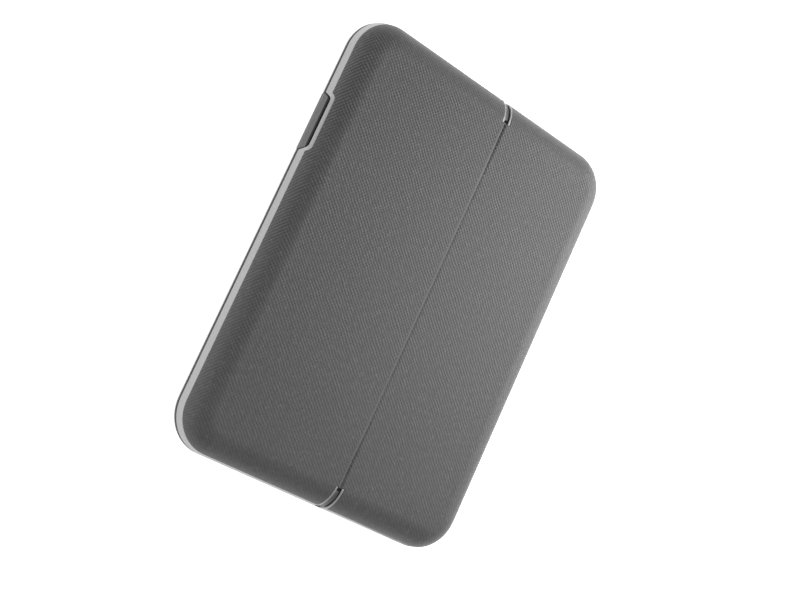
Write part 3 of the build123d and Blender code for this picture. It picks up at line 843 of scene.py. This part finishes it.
def arrow(angle, size):
    """A solid triangle that points along the angle."""
    bm = bmesh.new()
    bmesh.ops.create_cone(
        bm, cap_ends=True, segments=3, radius1=size, radius2=size, depth=ink_thickness
    )
    bmesh.ops.rotate(bm, matrix=Matrix.Rotation(angle - math.pi / 2, 3, "Z"), verts=bm.verts)
    mesh = bpy.data.meshes.new("arrow")
    bm.to_mesh(mesh)
    bm.free()
    return mesh


# %% [markdown]
# ## Filling the keyboard
# Each of the model's key parts gets one mesh of caps and one of legends, which ride together.
# A word becomes text, and a number becomes an arrow that points along that angle.

# %% Keys
letter_size, word_size, arrow_size = 4.6 * MM, 2.6 * MM, 1.3 * MM
ink_lift = 0.01 * MM  # the middle of the ink, above the dish
legends = {
    "function_keys": "esc F1 F2 F3 F4 F5 F6 F7 F8 F9 F10 F11 F12 del".split(),
    "number_keys": "1 2 3 4 5 6 7 8 9 0 - =".split(),
    "upper_letter_keys": "Q W E R T Y U I O P [ ]".split(),
    "home_letter_keys": "A S D F G H J K L ; '".split(),
    "lower_letter_keys": "Z X C V B N M , . /".split(),
    "modifier_keys": "fn ctrl alt cmd cmd alt".split(),
    "backspace": ["back"], "tab_key": ["tab"], "caps_lock": ["caps"], "enter_key": ["enter"],
    "left_shift": ["shift"], "right_shift": ["shift"], "space_bar": [""],
    "left_arrow": [math.pi], "right_arrow": [0.0], "up_arrow": [math.pi / 2],
    "down_arrow": [-math.pi / 2],
}
for node, words in legends.items():
    caps, marks = bmesh.new(), bmesh.new()
    for (low, high), word in zip(islands(node), words):
        add_mesh(caps, keycap(low, high))
        if word == "":
            continue
        if isinstance(word, float):
            mark = arrow(word, arrow_size)
        else:
            mark = legend(word, letter_size if len(word) == 1 else word_size)
        middle = (low + high) / 2
        place = Vector((middle.x, middle.y, high.z - dish_depth + ink_lift))
        mark.transform(Matrix.Translation(place))
        marks.from_mesh(mark)
        bpy.data.meshes.remove(mark)
    body = body_of_node[node]
    make_piece(node + "_caps", caps, key_paint, body, (node,), 30)
    if marks.verts:
        make_piece(node + "_legends", marks, legend_paint, body, (), 30)
    else:
        marks.free()
print("key pieces", len(legends))

# %% [markdown]
# ## Linings
# Each lining is a soft sheet glued to a ceiling. A block of the sheet's size gets round corners
# and a soft lower edge. It is cut into a grid, and its lower face is waved by a few hundredths
# of a millimetre, as glued cloth is.

# %% Linings
wave_height = 0.05 * MM


def lining_sheet(node, name, body):
    low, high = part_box(node)
    bm = block(low, high)
    bevel_edges(bm, upright_edges(bm), 5 * MM, 6)
    bevel_edges(bm, edges_at(bm, low.z), 0.22 * MM, 3)
    for step in range(1, 12):
        x = low.x + (high.x - low.x) * step / 12
        cut(bm, (x, 0, 0), (1, 0, 0))
    for step in range(1, 6):
        y = low.y + (high.y - low.y) * step / 6
        cut(bm, (0, y, 0), (0, 1, 0))
    for point in bm.verts:
        if point.co.z < low.z + 0.05 * MM:
            wave = math.sin(point.co.x * 90) * math.sin(point.co.y * 130 + 1)
            point.co.z += wave_height * wave
    piece = make_piece(name, bm, lining_paint, body, (node,), 50)
    return piece


for node, name, body in (
    ("holder_lining", "front_lining", "front_panel"),
    ("rear_panel_lining", "rear_lining", "rear_panel"),
):
    print(lining_sheet(node, name, body).name)

# %% [markdown]
# ## Spine
# The spine is a strip of the same sheet that wraps a thin board. It starts on the lid's cover,
# turns down behind the board and ends on the base's cover. It is drawn as a row of points in
# profile, extruded along the edge, and split at the board's middle, because each half bends
# across one hinge.

# %% Spine
spine_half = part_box("spine_skin")[1].x
spine_low, spine_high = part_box("spine_board")[0].z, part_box("spine_board")[1].z
spine_middle = (spine_low + spine_high) / 2
wrap_thickness = 0.7 * MM
# each point is a distance in from the case's rear edge, and a height, in mm
upper_profile = [
    (2.9, 19.5), (2.3, 18.7), (1.75, 17.85), (1.3, 17.0), (0.98, 16.2), (0.8, 15.4),
    (0.62, 14.5), (0.42, 13.5), (0.2, 12.6), (0.04, 12.0), (0.0, spine_middle / MM),
]
lower_profile = [
    (0.0, spine_middle / MM), (0.0, 9.9), (0.1, 9.3), (0.3, 8.8), (0.7, 8.25), (1.2, 7.7),
    (1.7, 7.2), (2.3, 6.65), (2.9, 6.2),
]


def wrap(name, profile, nodes):
    bm = bmesh.new()
    line = [bm.verts.new((-spine_half, half_y - i * MM, z * MM)) for i, z in profile]
    edges = [bm.edges.new(pair) for pair in zip(line, line[1:])]
    out = bmesh.ops.extrude_edge_only(bm, edges=edges)
    moved = [g for g in out["geom"] if isinstance(g, bmesh.types.BMVert)]
    bmesh.ops.translate(bm, vec=(2 * spine_half, 0, 0), verts=moved)
    bmesh.ops.recalc_face_normals(bm, faces=bm.faces)
    if sum(f.normal.y for f in bm.faces) < 0:
        bmesh.ops.reverse_faces(bm, faces=bm.faces)
    for x in range(-90, 91, 30):
        cut(bm, (x * MM, 0, 0), (1, 0, 0))
    uv = bm.loops.layers.uv.new("unrolled")
    for face in bm.faces:
        for loop in face.loops:
            loop[uv].uv = (loop.vert.co.x, loop.vert.co.z * 1.25)
    piece = make_piece(name, bm, cover_paint, None, nodes, 180)
    thicken(piece, wrap_thickness)
    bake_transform(piece)
    return piece


upper_wrap = wrap(
    "spine_wrap_upper", upper_profile,
    ("spine_skin", "lid_cloth"),
)
lower_wrap = wrap(
    "spine_wrap_lower", lower_profile,
    ("spine_cloth",),
)
print(upper_wrap.name, lower_wrap.name)

# %% [markdown]
# ## Studio
# A plain pale floor, a bright even surround, and large soft lights. The strongest comes from
# beyond the spine, so the far side of the lid is lighter and the near shoulder darker.

# %% Studio
floor_mesh = bpy.data.meshes.new("floor")
floor_bm = bmesh.new()
bmesh.ops.create_grid(floor_bm, x_segments=4, y_segments=4, size=3.0)
floor_bm.to_mesh(floor_mesh)
floor_bm.free()
floor = bpy.data.objects.new("floor", floor_mesh)
bpy.context.scene.collection.objects.link(floor)
floor_paint = Paint("pale_floor")
floor_mesh.materials.append(
    floor_paint.set(
        Base_Color=grey(0.9), Roughness=0.9, Specular_IOR_Level=0.1,
        Emission_Color=grey(1.0), Emission_Strength=0.85,
    )
)

world = bpy.data.worlds.new("studio")
world.use_nodes = True
surround = world.node_tree.nodes["Background"]
surround.inputs["Color"].default_value = (1, 1, 1, 1)
surround.inputs["Strength"].default_value = 0.36
bpy.context.scene.world = world


def soft_light(name, place, size, power):
    data = bpy.data.lights.new(name, "AREA")
    data.shape = "DISK"
    data.size = size
    data.energy = power
    light = bpy.data.objects.new(name, data)
    light.location = place
    light.rotation_euler = Vector(place).to_track_quat("Z", "Y").to_euler()
    bpy.context.scene.collection.objects.link(light)


soft_light("key_light", (-0.2, 0.46, 0.31), 0.5, 4.2)
soft_light("fill_light", (0.35, -1.1, 0.42), 0.9, 4.5)
bpy.context.scene.view_settings.view_transform = "Standard"
print("lights", len(bpy.data.lights))
